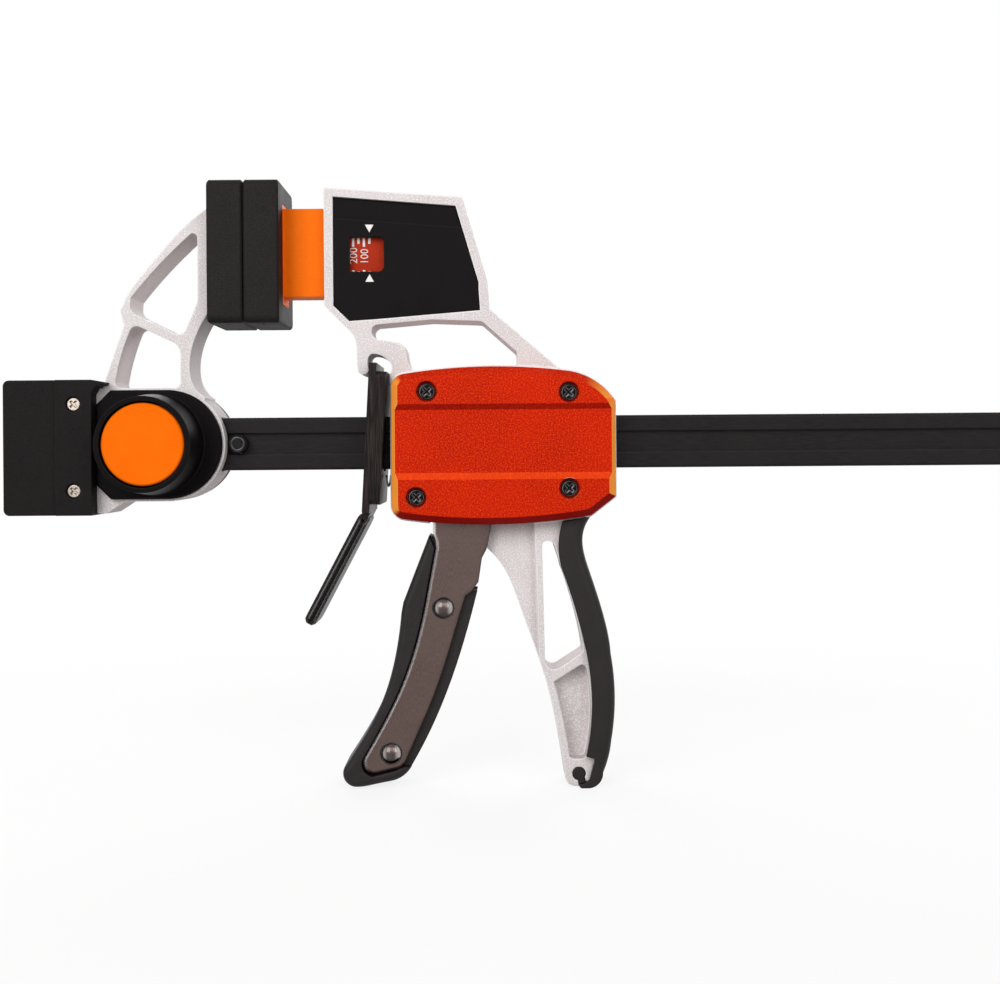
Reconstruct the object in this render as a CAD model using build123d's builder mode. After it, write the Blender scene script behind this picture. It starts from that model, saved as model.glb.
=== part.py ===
from build123d import *
from math import cos, radians, sin
import os

# Quick release bar clamp with two aluminium jaws on an I-section bar.
# X runs along the bar, Y is across the clamp (the front is -Y) and Z is up.
# The origin is on the bar's centre line, in the plane where the closed pads meet.
# Every profile in an XZ plane is drawn as (x, z).

# Driving dimensions, millimetres
opening = 150.0
throat_depth = 79.4
fit = 0.15
running_gap = 0.3

bar_thick = 7.0
bar_height = 18.0
bar_flange = 5.3
bar_recess = 1.5
bar_edge = 1.0
bar_end_margin = 8.8

hub_x = -31.2
stop_gap = 8.1
stop_radius = 3.1
stop_half = 6.0
lock_radius = 3.4
lock_stem = 1.9

jaw_thick = 16.0
hub_half_height = 19.2
hub_offset = 4.4

pad_thick = 12.0
pad_height = 48.0
pad_depth = 30.0
pad_round = 2.5
pad_edge = 0.6
pad_rail = 3.0

cap_thick = 2.5
cap_rim = 0.8
cap_corner = 5.0
cap_edge = 0.6
back_cap_thick = 7.0
back_cap_edge = 1.5
collar_height = 14.2
collar_outer = 17.1
collar_bore = 14.2
button_radius = 13.6
button_travel = 5.5

coupler_left = -81.0
coupler_right = -51.0
coupler_thick = 28.0
tongue_length = 12.0

body_thick = 17.0
body_left = 48.3
cover_rim = 0.7
cover_length = 75.0
cover_thick = 6.5
cover_bevel = 2.3
band_depth = 1.0
body_wall = 3.6
screw_head = 2.8
screw_shank = 1.6
screw_bore = 3.9
screw_sink = 3.0

frame_left = 26.3
frame_wall = 3.0
housing_wall = 1.8
housing_depth = 15.0
plunger_height = 30.0
plunger_thick = 10.0
plunger_travel = 12.5
carriage_height = 27.0
carriage_end = 50.0
abutment_x = 69.0
spring_radius = 3.0
spring_wire = 0.7
spring_seat = 6.0
spring_spread = 7.0
scale_end = 48.0

foot_z = -116.3
rear_foot_z = -117.0
handle_thick = 14.0
web_thick = 8.0
pocket_floor = 2.4
web_front_edge = [(80.8, -36.2), (85.9, -42.0), (92.3, -57.3), (99.0, -76.2), (104.3, -98.3), (106.7, -113.5)]
grip_thick = 19.0
grip_round = 3.2

trigger_pivot = (72.0, 15.4)
trigger_travel = 16.0
pivot_radius = 2.5
plate_thick = 2.0
plate_inner = 6.0
plate_reveal = 0.5
plate_front_edge = [(38.9, -106.4), (42.9, -99.5), (51.8, -81.9), (57.9, -63.4), (61.5, -46.0), (63.5, -35.7)]
trigger_grip_thick = 20.0
grip_edge = 2.2
rivet_head = 3.5
rivet_shank = 2.0
rivet_dome = 1.8
rivets = [(65.8, -56.0), (47.8, -105.1)]

drive_x = 82.6
drive_plate_thick = 2.3
drive_plate_count = 3
drive_plate_width = 16.0
drive_plate_half = 14.0
drive_travel = 4.25

lever_pivot = (41.8, 25.0)
lever_tilt = 3.2
lever_thick = 2.5
lever_width = 29.0
brake_thick = 1.1
brake_count = 3
brake_top = 24.2
brake_bottom = -20.5
stack_gap = 0.04
sleeve_wall = 0.7
sleeve_edge = 1.0
sleeve_length = 42.0
sleeve_angle = 28.0
tail_width = 20.0

guide_length = 5.5
guide_half = 12.4

# Sizes that follow from the ones above
half_bar = bar_thick / 2
bar_half = bar_height / 2
web_half_height = bar_half - bar_flange
web_half = half_bar - bar_recess
jaw_half = jaw_thick / 2
pad_top = bar_half + throat_depth
pad_bottom = pad_top - pad_height
pad_mid = (pad_top + pad_bottom) / 2
pad_gap = fit
body_half = body_thick / 2
cover_left = body_left + cover_rim
cover_right = cover_left + cover_length
body_right = cover_right + cover_rim
stop_x = hub_x + hub_half_height + stop_gap
lock_to_stop = stop_x - hub_x
far_stop = body_right + opening + stop_radius + running_gap
far_lock = far_stop + lock_to_stop
bar_left = hub_x - bar_end_margin
bar_right = far_lock + bar_end_margin
cap_face = jaw_half + cap_thick
collar_face = cap_face + collar_height
hub_centre = hub_x + hub_offset
coupler_half = coupler_thick / 2
coupler_top = hub_half_height + 2.6
coupler_bottom = -hub_half_height - 4.4
cover_face = body_half + cover_thick
plunger_mid = pad_mid + 0.6
plate_outer = plate_inner + plate_thick
drive_x_end = drive_x + drive_plate_count * drive_plate_thick
cover_screws = [
    (cover_left + 12.0, 17.0),
    (cover_right - 15.5, 16.5),
    (cover_left + 8.3, -18.3),
    (cover_right - 15.5, -15.6),
]
guide_left_x = body_left + body_wall + cover_rim + 0.1
guide_right_x = body_right - body_wall - cover_rim - guide_length - 0.1
slot_half_thick = half_bar + fit
slot_half_height = bar_half + fit
slide_slot = (2 * slot_half_thick, 2 * slot_half_height)
XZ = Plane.XZ


def cover_outline():
    """Outline of the orange covers."""
    shoulder = (cover_right - 16.0, 23.75)
    corner = (cover_right, 13.6)
    heel = (cover_right - 8.2, -24.7)
    with BuildSketch() as outline:
        with BuildLine():
            top_left = (cover_left, 22.3)
            crown = ThreePointArc(top_left, ((cover_left + shoulder[0]) / 2, 25.3), shoulder)
            TangentArc(shoulder, corner, tangent=crown % 1)
            Line(corner, (cover_right, -18.4))
            Line((cover_right, -18.4), heel)
            ThreePointArc(heel, ((cover_left + heel[0]) / 2, -27.6), (cover_left, -25.0))
            Line((cover_left, -25.0), top_left)
        make_face()
        left_corners = outline.vertices().group_by(Axis.X)[0]
        fillet(left_corners, 4.6)
    return outline.sketch


def handle_outline():
    """Rear handle with its web, down to the tip that holds the C socket."""
    with BuildSketch() as outline:
        with BuildLine():
            Line((112.0, -20.0), (80.8, -20.0))
            Line((80.8, -20.0), (80.8, -36.2))
            Spline(*web_front_edge)
            ThreePointArc((106.7, -113.5), (107.7, -115.8), (109.9, -116.7))
            Line((109.9, -116.7), (111.4, -116.9))
            Line((111.4, -116.9), (114.7, -115.4))
            Line((114.7, -115.4), (117.0, -107.1))
            Spline((117.0, -107.1), (118.9, -92.0), (117.2, -73.0), (112.4, -55.5), (107.9, -38.0), (112.0, -20.0))
        make_face()
    return outline.sketch


def upper_jaw_window():
    """Window between the arm's outer curve and the back of the pad."""
    with BuildSketch() as window:
        with BuildLine():
            top = (-16.5, 73.2)
            left = (-39.3, 49.6)
            ThreePointArc(top, (-30.0, 60.4), left)
            Polyline(left, (-39.6, 45.2), (-21.8, 36.2), (-16.6, 48.4), top)
        make_face()
        fillet(window.vertices().sort_by(Axis.Y)[:2], 3.0)
        fillet(window.vertices().sort_by(Axis.Y)[-1], 1.5)
    return window.sketch


def lower_jaw_window():
    """Window between the arm's cross rib and the hub."""
    with BuildSketch() as window:
        with BuildLine():
            left = (-45.0, hub_half_height)
            top = (-38.6, 41.0)
            Polyline(left, (-22.5, hub_half_height), (-22.5, 33.4), top)
            ThreePointArc(top, (-42.4, 31.0), left)
        make_face()
        fillet(window.vertices().sort_by(Axis.Y)[-1], 2.5)
        fillet(window.vertices().sort_by(Axis.Y)[2], 4.5)
        fillet(window.vertices().sort_by(Axis.Y)[:2], 2.0)
    return window.sketch


def cap_outline(rim):
    """Outline of a hub cap, inside the hub's own outline by rim."""
    cap_left = coupler_right + running_gap
    with BuildSketch() as outline:
        with Locations((hub_centre, 0)):
            Circle(hub_half_height - rim)
        with Locations(((cap_left + hub_centre) / 2, 0)):
            Rectangle(hub_centre - cap_left, 2 * (hub_half_height - rim))
        chamfer(outline.vertices().group_by(Axis.X)[0], cap_corner)
    return outline.sketch


def body_window():
    """Opening between the jaw frame, the hook and the body."""
    nose = (91.5, 30.4)
    shoulder = (79.6, 41.0)
    with BuildSketch() as window:
        with BuildLine():
            neck_low = (57.6, 22.0)
            Polyline((91.4, 22.0), nose, shoulder, (62.7, 41.7), (44.0, 40.1))
            Spline((44.0, 40.1), (42.2, 38.2), (43.0, 35.8), (45.6, 35.0))
            Spline((45.6, 35.0), (49.6, 34.2), (52.8, 33.0), (54.2, 28.2), (58.6, 24.0))
            Polyline((58.6, 24.0), neck_low, (91.4, 22.0))
        make_face()
        fillet(window.vertices().sort_by_distance(nose)[0], 1.5)
        fillet(window.vertices().sort_by_distance(shoulder)[0], 2.0)
    return window.sketch


def rear_window():
    """Open window in the upper half of the rear handle."""
    with BuildSketch() as window:
        with BuildLine():
            Polyline((99.4, -33.2), (103.2, -34.0))
            Spline((103.2, -34.0), (107.6, -47.7), (111.2, -60.5), (113.2, -71.4))
            Polyline((113.2, -71.4), (100.3, -79.7), (99.4, -33.2))
        make_face()
        fillet(window.vertices().sort_by(Axis.Y)[0], 3.0)
        fillet(window.vertices().sort_by(Axis.Y)[-2:], 1.6)
        fillet(window.vertices().sort_by(Axis.X)[-1], 1.2)
    return window.sketch


def rear_pocket():
    """Closed pocket in the lower half of the rear handle."""
    with BuildSketch() as pocket:
        with BuildLine():
            Line((103.0, -81.4), (113.6, -74.8))
            Spline((113.6, -74.8), (115.6, -88.0), (115.4, -97.0), (113.6, -107.6))
            Line((113.6, -107.6), (108.3, -107.6))
            Spline((108.3, -107.6), (105.8, -93.1), (103.0, -81.4))
        make_face()
        fillet(pocket.vertices().sort_by(Axis.X)[1:], 1.5)
    return pocket.sketch


def swung_web_point(x, z):
    """Where a point of the handle's web lies, seen from the trigger at full squeeze."""
    turn = radians(trigger_travel + 1.0)
    arm_x, arm_z = x - trigger_pivot[0], z - trigger_pivot[1]
    swung_x = trigger_pivot[0] + arm_x * cos(turn) + arm_z * sin(turn)
    swung_z = trigger_pivot[1] - arm_x * sin(turn) + arm_z * cos(turn)
    return (swung_x - 2 * running_gap, swung_z)


def trigger_plate_outline():
    """Steel side plate: the fork beside the bar and the long blade below it."""
    pivot_x, pivot_z = trigger_pivot
    ear = pivot_radius + 2.5
    nose = drive_x - running_gap
    with BuildSketch() as outline:
        with BuildLine():
            ThreePointArc((pivot_x - ear, pivot_z), (pivot_x, pivot_z + ear), (pivot_x + ear, pivot_z))
            Line((pivot_x + ear, pivot_z), (nose - 1.0, 3.0))
            ThreePointArc((nose - 1.0, 3.0), (nose, 0.0), (nose - 1.0, -3.0))
            Polyline((nose - 1.0, -3.0), (76.6, -13.0), (77.4, -18.0), (82.0, -22.0), (82.1, -29.4))
            Polyline((82.1, -29.4), (80.6, -36.2), (79.0, -39.2), (77.8, -47.2), (75.6, -50.3), (73.2, -52.0))
            Spline((73.2, -52.0), (69.0, -65.6), (62.6, -84.8), (55.9, -100.2), (52.6, -107.6))
            ThreePointArc((52.6, -107.6), (51.4, -109.6), (49.4, -110.3))
            Line((49.4, -110.3), (42.6, -111.9))
            ThreePointArc((42.6, -111.9), (39.2, -110.3), (38.9, -106.4))
            Spline(*plate_front_edge)
            Polyline((63.5, -35.7), (63.4, -33.2), (62.5, -30.8), (62.5, -26.0), (66.4, -10.0))
            Line((66.4, -10.0), (pivot_x - ear, pivot_z))
        make_face()
    return outline.sketch


def grip_front_edge():
    """Finger side and foot of the trigger grip, drawn into the current line."""
    Spline((61.1, -31.5), (57.0, -41.9), (52.3, -53.9))
    Line((52.3, -53.9), (51.6, -57.6))
    Spline((51.6, -57.6), (49.9, -70.0), (45.0, -87.2), (37.0, -102.0), (32.0, -109.6))
    ThreePointArc((32.0, -109.6), (32.1, -114.0), (36.4, foot_z))
    Spline((36.4, foot_z), (42.0, foot_z + 0.8), (48.6, foot_z + 2.1), tangents=((1, 0), (1, 0.2)))
    ThreePointArc((48.6, foot_z + 2.1), (52.6, foot_z + 4.2), (54.8, -109.4))


def trigger_grip_outline():
    """Whole contour of the trigger's moulded grip."""
    with BuildSketch() as outline:
        with BuildLine():
            grip_front_edge()
            Spline((54.8, -109.4), (63.3, -93.0), (71.6, -71.0), (77.4, -50.3))
            Polyline((77.4, -50.3), (72.8, -49.6), (69.5, -34.0), (63.8, -33.0), (61.1, -31.5))
        make_face()
    return outline.sketch


def trigger_flare_outline():
    """Wide part of the grip, in front of the plates and below them."""
    edge = [(x - plate_reveal, z) for x, z in plate_front_edge]
    with BuildSketch() as outline:
        with BuildLine():
            grip_front_edge()
            foot = (edge[0][0] + 3.2, edge[0][1] - 6.2)
            Polyline((54.8, -109.4), (52.6, -109.4), (49.2, -110.3 - plate_reveal), foot)
            ThreePointArc(foot, (edge[0][0] + 0.2, edge[0][1] - 4.2), edge[0])
            Spline(*edge)
            Line(edge[-1], (61.1, -31.5))
        make_face()
    return outline.sketch


def pad_block(face_x):
    """Outer block of a pad, from face_x back over pad_thick along -X when negative."""
    with BuildPart() as block:
        with BuildSketch(Plane.YZ.offset(face_x)):
            with Locations((0, pad_mid)):
                RectangleRounded(pad_depth, pad_height, pad_round)
        side = -1 if face_x < 0 else 1
        extrude(amount=side * (pad_thick - abs(face_x)))
        back_and_front = block.faces().filter_by(Axis.X)
        chamfer(back_and_front.edges(), pad_edge)
    return block.part


def coil(centre, direction, length, radius, wire, turns):
    """Open compression spring that starts at centre and runs along direction."""
    pitch = (length - 2 * wire) / turns
    axis = Vector(*direction)
    start = Vector(*centre) + axis * wire
    helix = Helix(pitch, pitch * turns, radius, center=start, direction=axis)
    with BuildPart() as spring:
        with BuildLine() as path:
            add(helix)
        with BuildSketch(Plane(origin=path.line @ 0, z_dir=path.line % 0)):
            RegularPolygon(wire, 4)
        sweep(path=path.line, is_frenet=True)
    return spring.part


# Bar: I section with a lock hole and a slot open to each end, so it takes the jaw either way round
with BuildPart() as bar:
    with BuildSketch(Plane.YZ.offset(bar_left)) as bar_section:
        Rectangle(bar_thick, bar_height)
        fillet(bar_section.vertices(), bar_edge)
        with Locations((half_bar, 0), (-half_bar, 0)):
            Rectangle(2 * bar_recess, 2 * web_half_height, mode=Mode.SUBTRACT)
    extrude(amount=bar_right - bar_left)
    with BuildSketch(XZ):
        with Locations((stop_x, 0), (far_stop, 0)):
            Circle(stop_radius + fit / 3)
        with Locations((hub_x, 0), (far_lock, 0)):
            Circle(lock_radius + fit / 2)
        for lock_x, end_x in ((hub_x, bar_left), (far_lock, bar_right)):
            with Locations(((lock_x + end_x) / 2, 0)):
                Rectangle(abs(end_x - lock_x), 2 * (lock_stem + fit))
    extrude(amount=bar_thick, both=True, mode=Mode.SUBTRACT)

# Stop pins: the jaw seats against one, and the other keeps the body on the bar
with BuildPart() as stop_pins:
    with BuildSketch(XZ.offset(-stop_half)):
        with Locations((stop_x, 0), (far_stop, 0)):
            Circle(stop_radius)
    extrude(amount=2 * stop_half)
    chamfer(stop_pins.edges().filter_by(GeomType.CIRCLE), 0.5)

# Fixed jaw: curved arm with two windows, hub with the bar socket, tongue for the coupler
jaw_face = -pad_thick
with BuildPart() as fixed_jaw_casting:
    with BuildSketch(XZ) as jaw_profile:
        with BuildLine():
            Polyline((jaw_face, pad_top - 8.0), (-14.5, pad_top - 9.4))
            Spline((-14.5, pad_top - 9.4), (-21.9, 72.8), (-32.9, 60.4), (-38.5, 53.5), (-41.9, 47.2))
            Line((-41.9, 47.2), (-42.8, 45.6))
            Line((-42.8, 45.6), (-41.5, 40.4))
            Spline((-41.5, 40.4), (-45.2, 30.0), (-48.9, hub_half_height))
            Polyline((-48.9, hub_half_height), (-48.9, 10.0), (hub_x, 10.0), (-14.4, 10.0), (-14.4, 15.9))
            Spline((-14.4, 15.9), (-18.4, 20.4), (-19.4, 28.3), (-16.6, 38.4), (jaw_face, 46.0))
            Line((jaw_face, 46.0), (jaw_face, pad_top - 8.0))
        make_face()
        add(upper_jaw_window(), mode=Mode.SUBTRACT)
        add(lower_jaw_window(), mode=Mode.SUBTRACT)
    extrude(amount=jaw_half, both=True)
    with BuildSketch(XZ):
        with Locations((hub_centre, 0)):
            Circle(hub_half_height)
        with Locations(((coupler_right + hub_centre) / 2, 0)):
            Rectangle(hub_centre - coupler_right, 2 * hub_half_height)
        with BuildLine():
            skirt = coupler_bottom + 0.4
            Polyline((-38.0, -18.0), (-41.6, -hub_half_height), (-47.8, skirt), (coupler_right, skirt))
            Polyline((coupler_right, skirt), (coupler_right, -15.0), (-38.0, -18.0))
        make_face()
    extrude(amount=jaw_half, both=True)
    with BuildSketch(XZ):
        tongue_left = coupler_right - tongue_length
        with Locations(((tongue_left + coupler_right) / 2, (coupler_top + coupler_bottom) / 2)):
            Rectangle(tongue_length, coupler_top - coupler_bottom - 8)
    extrude(amount=jaw_half, both=True)
    # Rail under the pad
    with BuildSketch(Plane.YZ.offset(jaw_face)):
        with Locations((0, pad_mid)):
            Rectangle(jaw_thick - 4, pad_height - 14)
    extrude(amount=pad_rail - fit)
    # Bar socket, closed at its left end
    with BuildSketch(Plane.YZ.offset(bar_left - fit)):
        Rectangle(*slide_slot)
    extrude(amount=60, mode=Mode.SUBTRACT)
    # Cross hole for the lock pin
    with BuildSketch(XZ):
        with Locations((hub_x, 0)):
            Circle(lock_radius + fit)
    extrude(amount=jaw_half, both=True, mode=Mode.SUBTRACT)

# Hub caps: a deep one at the back, and a flat one in front with the collar round the button
with BuildPart() as hub_cap_back:
    with BuildSketch(XZ.offset(-jaw_half)):
        add(cap_outline(cap_rim / 2))
    extrude(amount=-back_cap_thick)
    chamfer(hub_cap_back.faces().sort_by(Axis.Y)[-1].edges(), back_cap_edge)

with BuildPart() as hub_cap_front:
    with BuildSketch(XZ.offset(jaw_half)):
        add(cap_outline(cap_rim))
    extrude(amount=cap_thick)
    chamfer(hub_cap_front.faces().sort_by(Axis.Y)[0].edges(), cap_edge)
    with BuildSketch(XZ.offset(cap_face)):
        with Locations((hub_x, 0)):
            Circle(collar_outer)
    extrude(amount=collar_height, taper=5.2)
    with BuildSketch(XZ.offset(cap_face)):
        with Locations((hub_x, 0)):
            Circle(collar_bore)
    extrude(amount=collar_height, mode=Mode.SUBTRACT)
    with BuildSketch(XZ.offset(jaw_half)):
        with Locations((hub_x, 0)):
            Circle(lock_radius + fit)
    extrude(amount=cap_thick, mode=Mode.SUBTRACT)

# Push button with a hollow back for its spring
button_back = cap_face + button_travel + running_gap
button_face = collar_face - 0.7
with BuildPart() as push_button:
    with BuildSketch(XZ.offset(button_back)):
        with Locations((hub_x, 0)):
            Circle(button_radius)
    extrude(amount=button_face - button_back)
    chamfer(push_button.faces().sort_by(Axis.Y)[0].edges(), 0.5)
    with BuildSketch(XZ.offset(button_back)):
        with Locations((hub_x, 0)):
            Circle(9.0)
            Circle(lock_radius + 0.8, mode=Mode.SUBTRACT)
    extrude(amount=4.5, mode=Mode.SUBTRACT)

# Lock pin: its shoulder fills the bar's hole, its stem is thin enough for the slot
shoulder_half = web_half + 0.5
with BuildPart() as lock_pin:
    with BuildSketch(XZ.offset(-shoulder_half)):
        with Locations((hub_x, 0)):
            Circle(lock_radius)
    extrude(amount=2 * shoulder_half)
    with BuildSketch(XZ.offset(shoulder_half)):
        with Locations((hub_x, 0)):
            Circle(lock_stem)
    extrude(amount=button_back - shoulder_half)
    chamfer(lock_pin.faces().sort_by(Axis.Y)[-1].edges(), 0.5)

with BuildPart() as button_spring:
    button_spring_length = button_back + 4.5 - cap_face - 0.2
    add(coil((hub_x, -cap_face - 0.1, 0), (0, -1, 0), button_spring_length, 7.0, 0.5, 3))

# Coupler block: slips over the tongue and carries a hooked rail that mates with a second clamp's block
with BuildPart() as coupler_block:
    with BuildSketch(XZ) as coupler_profile:
        with Locations(((coupler_left + coupler_right) / 2, (coupler_top + coupler_bottom) / 2)):
            Rectangle(coupler_right - coupler_left, coupler_top - coupler_bottom)
        fillet(coupler_profile.vertices().group_by(Axis.X)[0], 2.0)
    extrude(amount=coupler_half, both=True)
    tongue_left = coupler_right - tongue_length
    # Lip over the upper corner of the casting
    with BuildSketch(XZ):
        with BuildLine():
            Polyline((coupler_right, coupler_top), (-46.7, coupler_top - 0.8), (-46.7, coupler_top - 1.6))
            lip_low = hub_half_height - 2.2
            Polyline((-46.7, coupler_top - 1.6), (-49.6, hub_half_height + 0.2), (coupler_right, lip_low))
            Line((coupler_right, lip_low), (coupler_right, coupler_top))
        make_face()
    extrude(amount=coupler_half, both=True)
    # Pocket for the tongue
    with BuildSketch(XZ):
        with Locations(((tongue_left + coupler_right) / 2 + 1, (coupler_top + coupler_bottom) / 2)):
            Rectangle(tongue_length + 2 + fit, coupler_top - coupler_bottom - 8 + 2 * fit)
        with Locations((coupler_right + 2.5, 0)):
            Rectangle(5.0, 2 * hub_half_height + 8)
    extrude(amount=jaw_half + fit, both=True, mode=Mode.SUBTRACT)
    # Step down beside the mating rail
    with BuildSketch(XZ.offset(coupler_half)):
        with Locations(((coupler_left + tongue_left) / 2, 0)):
            Rectangle(tongue_left - coupler_left, 60)
    extrude(amount=-1.5, mode=Mode.SUBTRACT)
    # Hooked slot along Z
    with BuildSketch(Plane.XY.offset(coupler_bottom)):
        with BuildLine():
            Polyline((coupler_left, -1.5), (coupler_left + 5.5, -1.5), (coupler_left + 5.5, -5.5))
            Polyline((coupler_left + 5.5, -5.5), (coupler_left + 11.0, -5.5), (coupler_left + 11.0, 5.5))
            Polyline((coupler_left + 11.0, 5.5), (coupler_left, 5.5), (coupler_left, -1.5))
        make_face()
    extrude(amount=coupler_top - coupler_bottom, mode=Mode.SUBTRACT)

coupler_holes = [(coupler_right - 6.0, 13.6), (coupler_right - 6.0, -15.4)]
with BuildPart(mode=Mode.PRIVATE) as coupler_bores:
    with BuildSketch(XZ.offset(coupler_half)):
        with Locations(coupler_holes):
            Circle(2.6)
    extrude(amount=-2.0)
    with BuildSketch(XZ.offset(coupler_half)):
        with Locations(coupler_holes):
            Circle(1.5 + fit / 3)
    extrude(amount=-(coupler_half + 6.0))
with coupler_block:
    add(coupler_bores.part, mode=Mode.SUBTRACT)
with fixed_jaw_casting:
    add(coupler_bores.part, mode=Mode.SUBTRACT)


def cross_screw(face, head_radius, head_height, shank_radius, length, places):
    """Screws at places in the XZ plane, heads on the face at -Y with a cross recess."""
    with BuildPart() as screws:
        with BuildSketch(XZ.offset(face - head_height)):
            with Locations(places):
                Circle(head_radius)
        extrude(amount=head_height)
        chamfer(screws.faces().sort_by(Axis.Y)[: len(places)].edges(), 0.4)
        with BuildSketch(XZ.offset(face - head_height)):
            with Locations(places):
                Circle(shank_radius)
        extrude(amount=-length)
        with BuildSketch(XZ.offset(face)):
            with Locations(places):
                Rectangle(head_radius * 1.2, head_radius * 0.3, rotation=45)
                Rectangle(head_radius * 1.2, head_radius * 0.3, rotation=-45)
        extrude(amount=-head_height * 0.5, mode=Mode.SUBTRACT)
    return screws.part


with BuildPart() as coupler_screws:
    add(cross_screw(coupler_half - 0.4, 2.4, 1.6, 1.5, coupler_half + 3.0, coupler_holes))

# Pads, with the slot for the rail in the back and two moulding pips underneath
with BuildPart() as fixed_pad:
    add(pad_block(-pad_gap))
    with BuildSketch(Plane.YZ.offset(jaw_face)):
        with Locations((0, pad_mid)):
            Rectangle(jaw_thick - 4 + 2 * fit, pad_height - 14 + 2 * fit)
    extrude(amount=pad_rail, mode=Mode.SUBTRACT)
    with BuildSketch(Plane.XY.offset(pad_bottom)):
        with Locations((jaw_face / 2, 9.0), (jaw_face / 2, -9.0)):
            Circle(0.6)
    extrude(amount=0.8, mode=Mode.SUBTRACT)

with BuildPart() as moving_pad:
    add(pad_block(pad_gap))
    with BuildSketch(Plane.YZ.offset(pad_thick)):
        with Locations((0, pad_mid)):
            Rectangle(plunger_thick + 2 + 2 * fit, pad_height - 14 + 2 * fit)
    extrude(amount=-pad_rail, mode=Mode.SUBTRACT)
    with BuildSketch(Plane.XY.offset(pad_bottom)):
        with Locations((pad_thick / 2, 9.0), (pad_thick / 2, -9.0)):
            Circle(0.6)
    extrude(amount=0.8, mode=Mode.SUBTRACT)

# Body casting: jaw frame, hook for the release lever, body ring and rear handle
outer_frame = [(frame_left, 86.6), (73.2, 83.0), (81.5, 54.6), (82.2, 45.1)]
inner_frame = [
    (frame_left + frame_wall, 86.6 - frame_wall),
    (70.9, 80.2),
    (78.5, 54.4),
    (79.1, 44.7),
    (46.5, 42.1),
    (34.6, 41.3),
    (frame_left + frame_wall, 46.6),
]
with BuildPart() as body_casting:
    with BuildSketch(XZ) as jaw_frame:
        with BuildLine():
            Polyline(*outer_frame)
            strut_end = cover_right - 18.8
            root = cover_right - 11.0
            Line(outer_frame[-1], (strut_end, 25.2))
            Spline((strut_end, 25.2), (strut_end + 3.4, 23.8), (root, 23.2))
            Polyline((root, 23.2), (root, 18.0), (54.0, 18.0), (body_left, 20.0), (body_left, 23.4))
            Spline((body_left, 23.4), (49.0, 25.6), (46.2, 29.2), (43.2, 30.2))
            Spline((43.2, 30.2), (41.4, 29.6), (40.8, 27.6), (41.2, 24.8))
            ThreePointArc((41.2, 24.8), (39.6, 23.2), (37.5, 24.6))
            Spline((37.5, 24.6), (37.2, 30.9), (36.6, 35.2), (34.9, 38.0))
            Polyline((34.9, 38.0), (28.2, 44.6), (frame_left, 46.8), outer_frame[0])
        make_face()
        with BuildLine():
            Polyline(*inner_frame, inner_frame[0])
        make_face(mode=Mode.SUBTRACT)
        add(body_window(), mode=Mode.SUBTRACT)
    extrude(amount=jaw_half, both=True)
    with BuildSketch(XZ):
        add(cover_outline())
        offset(amount=cover_rim)
    extrude(amount=body_half, both=True)
    with BuildSketch(XZ):
        add(handle_outline())
    extrude(amount=handle_thick / 2, both=True)
    # Cavity with a boss for each cover screw
    with BuildSketch(XZ) as cavity:
        add(cover_outline())
        offset(amount=-body_wall)
        boss = screw_bore + 0.1
        for x, z in cover_screws:
            side = 1 if z > 0 else -1
            with Locations((x, z)):
                Circle(boss, mode=Mode.SUBTRACT)
            with Locations((x, z + side * 5)):
                Rectangle(2 * boss, 10, mode=Mode.SUBTRACT)
    extrude(amount=body_half, both=True, mode=Mode.SUBTRACT)
    # Way in for the trigger: open below the fork, thin web beside it
    fork_left = 61.4
    step_top = (96.6, -20.0)
    with BuildSketch(XZ):
        with BuildLine():
            Polyline((fork_left, -20.0), (fork_left, -30.0), (80.4, -30.0), (80.4, -20.0), (fork_left, -20.0))
        make_face()
    extrude(amount=body_half, both=True, mode=Mode.SUBTRACT)
    for side in (1, -1):
        with BuildSketch(XZ.offset(side * web_thick / 2)):
            with BuildLine():
                Polyline((fork_left, -20.0), (fork_left, -45.0), (80.0, -80.0), (98.4, -80.0), (98.05, -70.3))
                Polyline((98.05, -70.3), step_top, (fork_left, -20.0))
            make_face()
        extrude(amount=side * body_half, mode=Mode.SUBTRACT)
    # Windows of the handle and the socket at its tip
    with BuildSketch(XZ):
        add(rear_window())
    extrude(amount=handle_thick, both=True, mode=Mode.SUBTRACT)
    for side in (1, -1):
        with BuildSketch(XZ.offset(side * pocket_floor / 2)):
            add(rear_pocket())
        extrude(amount=side * handle_thick, mode=Mode.SUBTRACT)
    with BuildSketch(XZ) as socket:
        with Locations((111.4, -112.6)):
            Circle(2.35)
        with BuildLine():
            Polyline((111.2, -113.0), (113.2, -112.8), (114.3, -118.0), (110.9, -118.0), (111.2, -113.0))
        make_face()
    extrude(amount=handle_thick, both=True, mode=Mode.SUBTRACT)
    # Bar slots through the two end walls
    with BuildSketch(Plane.YZ.offset(body_left - 1)):
        Rectangle(*slide_slot)
    extrude(amount=body_right - body_left + 2, mode=Mode.SUBTRACT)
    # Slot for the plunger
    with BuildSketch(Plane.YZ.offset(frame_left - 1)):
        with Locations((0, plunger_mid)):
            Rectangle(plunger_thick + 2 * running_gap, plunger_height + 2 * running_gap)
    extrude(amount=frame_wall + 2, mode=Mode.SUBTRACT)
    # Screw holes and the pocket for the brake spring
    with BuildSketch(XZ):
        with Locations(cover_screws):
            Circle(screw_shank + fit / 3)
    extrude(amount=body_half, both=True, mode=Mode.SUBTRACT)
    brake_spring_z = -bar_half - 4.0
    with BuildSketch(Plane.YZ.offset(body_left)):
        with Locations((0, brake_spring_z)):
            Circle(2.7)
    extrude(amount=body_wall - 0.6, mode=Mode.SUBTRACT)

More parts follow.
